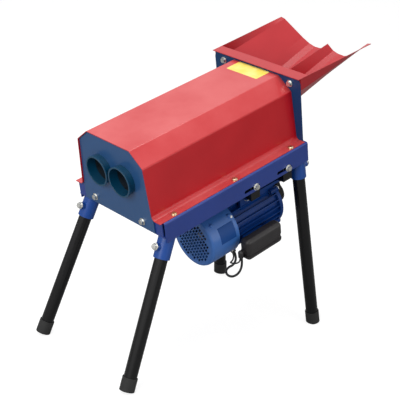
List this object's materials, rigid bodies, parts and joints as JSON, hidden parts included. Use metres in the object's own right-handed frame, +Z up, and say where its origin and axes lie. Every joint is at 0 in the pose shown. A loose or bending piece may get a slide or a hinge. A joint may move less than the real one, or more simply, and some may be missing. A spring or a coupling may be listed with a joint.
{
  "type": "corn sheller",
  "caption": "Electric corn sheller: folded hood over twin cob outlets, feed hopper with twin troughs, belt-driven rotor, finned motor hung below, splayed tube legs.",
  "frame": {"origin": "middle of the machine's footprint on the floor, at floor level", "axes": "+X from the cob outlets towards the feed hopper, +Z up, +Y to the left seen along +X"},
  "size_m": [0.793, 0.399, 0.7542],
  "materials": {
    "red_paint": "gloss paint, red",
    "rail_blue_paint": "gloss paint, violet blue",
    "plate_blue_paint": "gloss paint, slate blue",
    "socket_blue_paint": "gloss paint, bright blue",
    "outlet_teal_paint": "gloss paint, dark teal",
    "black_paint": "satin black powder coat",
    "inner_grey_paint": "grey primer",
    "motor_navy_casting": "cast aluminium under navy enamel",
    "motor_blue_sheet": "blue enamel on pressed sheet",
    "cast_housing": "rough casting, grey",
    "zinc_plated": "bright zinc plating",
    "yellow_zinc": "yellow passivated zinc",
    "turned_steel": "turned steel",
    "lamination_steel": "stacked lamination steel",
    "bearing_steel": "ground bearing steel",
    "box_plastic": "textured black moulding",
    "gland_plastic": "black nylon",
    "fan_plastic": "black moulding",
    "capacitor_case": "white moulding",
    "lead_rubber": "black lead sheath",
    "foot_rubber": "black rubber",
    "belt_rubber": "wrapped belt rubber"
  },
  "bodies": {
    "frame": {"rail_left": "rail_blue_paint", "rail_right": "rail_blue_paint", "front_cross_member": "rail_blue_paint", "rear_cross_member": "rail_blue_paint", "bearing_beams": "rail_blue_paint", "hood": "red_paint", "hood_screws": "yellow_zinc", "front_plate": "plate_blue_paint", "feed_plate": "plate_blue_paint", "plate_bolts": "zinc_plated", "hopper": "red_paint", "outlet_tube_left": "outlet_teal_paint", "outlet_tube_right": "outlet_teal_paint", "cob_channel_left": "inner_grey_paint", "cob_channel_right": "inner_grey_paint", "concave": "inner_grey_paint", "bearing_blocks": "cast_housing", "bearing_block_bolts": "zinc_plated", "rotor_bearings": "bearing_steel", "leg_socket_front_left": "socket_blue_paint", "leg_socket_front_right": "socket_blue_paint", "leg_socket_rear_left": "socket_blue_paint", "leg_socket_rear_right": "socket_blue_paint", "leg_clamp_bolts": "zinc_plated", "drive_belt": "belt_rubber"},
    "rotor": {"rotor_shaft": "turned_steel", "rotor_drum": "inner_grey_paint", "rotor_bars": "turned_steel", "rotor_pulley": "cast_housing"},
    "motor_unit": {"hanger_beams": "black_paint", "hanger_bolts": "zinc_plated", "kernel_deflector": "rail_blue_paint", "motor_housing": "motor_navy_casting", "fan_end_shield": "motor_navy_casting", "drive_end_shield": "motor_navy_casting", "shield_bolts": "zinc_plated", "fan_cover": "motor_blue_sheet", "fan_cover_screws": "zinc_plated", "motor_foot_bolts": "zinc_plated", "stator_core": "lamination_steel", "motor_bearings": "bearing_steel", "capacitor_box": "box_plastic", "capacitor_box_lid": "box_plastic", "capacitor": "capacitor_case", "cable_glands": "gland_plastic", "motor_lead": "lead_rubber", "thin_lead": "lead_rubber"},
    "motor_rotor": {"motor_shaft": "turned_steel", "rotor_core": "lamination_steel", "cooling_fan": "fan_plastic", "motor_pulley": "cast_housing"},
    "leg_front_left": {"leg_tube_front_left": "black_paint", "foot_front_left": "foot_rubber"},
    "leg_front_right": {"leg_tube_front_right": "black_paint", "foot_front_right": "foot_rubber"},
    "leg_rear_left": {"leg_tube_rear_left": "black_paint", "foot_rear_left": "foot_rubber"},
    "leg_rear_right": {"leg_tube_rear_right": "black_paint", "foot_rear_right": "foot_rubber"}
  },
  "joints": [
    {"name": "rotor_spin", "type": "hinge", "parent": "frame", "child": "rotor", "pos_m": [-0.08032, 0, 0.47686], "axis": [0.9681, 0, 0.2504], "continuous": true},
    {"name": "motor_shift", "type": "slide", "parent": "frame", "child": "motor_unit", "axis": [0.9681, 0, 0.2504], "range_m": [-0.033, 0.008], "deforming": ["drive_belt"]},
    {"name": "motor_spin", "type": "hinge", "parent": "motor_unit", "child": "motor_rotor", "pos_m": [0.04726, -0.068, 0.32703], "axis": [0.9681, 0, 0.2504], "continuous": true},
    {"name": "leg_front_left_draw", "type": "slide", "parent": "frame", "child": "leg_front_left", "axis": [-0.2965, 0.0763, -0.952], "range_m": [0, 0.036]},
    {"name": "leg_front_right_draw", "type": "slide", "parent": "frame", "child": "leg_front_right", "axis": [-0.2965, -0.0763, -0.952], "range_m": [0, 0.036]},
    {"name": "leg_rear_left_draw", "type": "slide", "parent": "frame", "child": "leg_rear_left", "axis": [0.2203, 0.0896, -0.9713], "range_m": [0, 0.036]},
    {"name": "leg_rear_right_draw", "type": "slide", "parent": "frame", "child": "leg_rear_right", "axis": [0.2203, -0.0896, -0.9713], "range_m": [0, 0.036]}
  ],
  "couplings": [
    {"joint": "motor_spin", "follows": "rotor_spin", "ratio": 1.25}
  ]
}
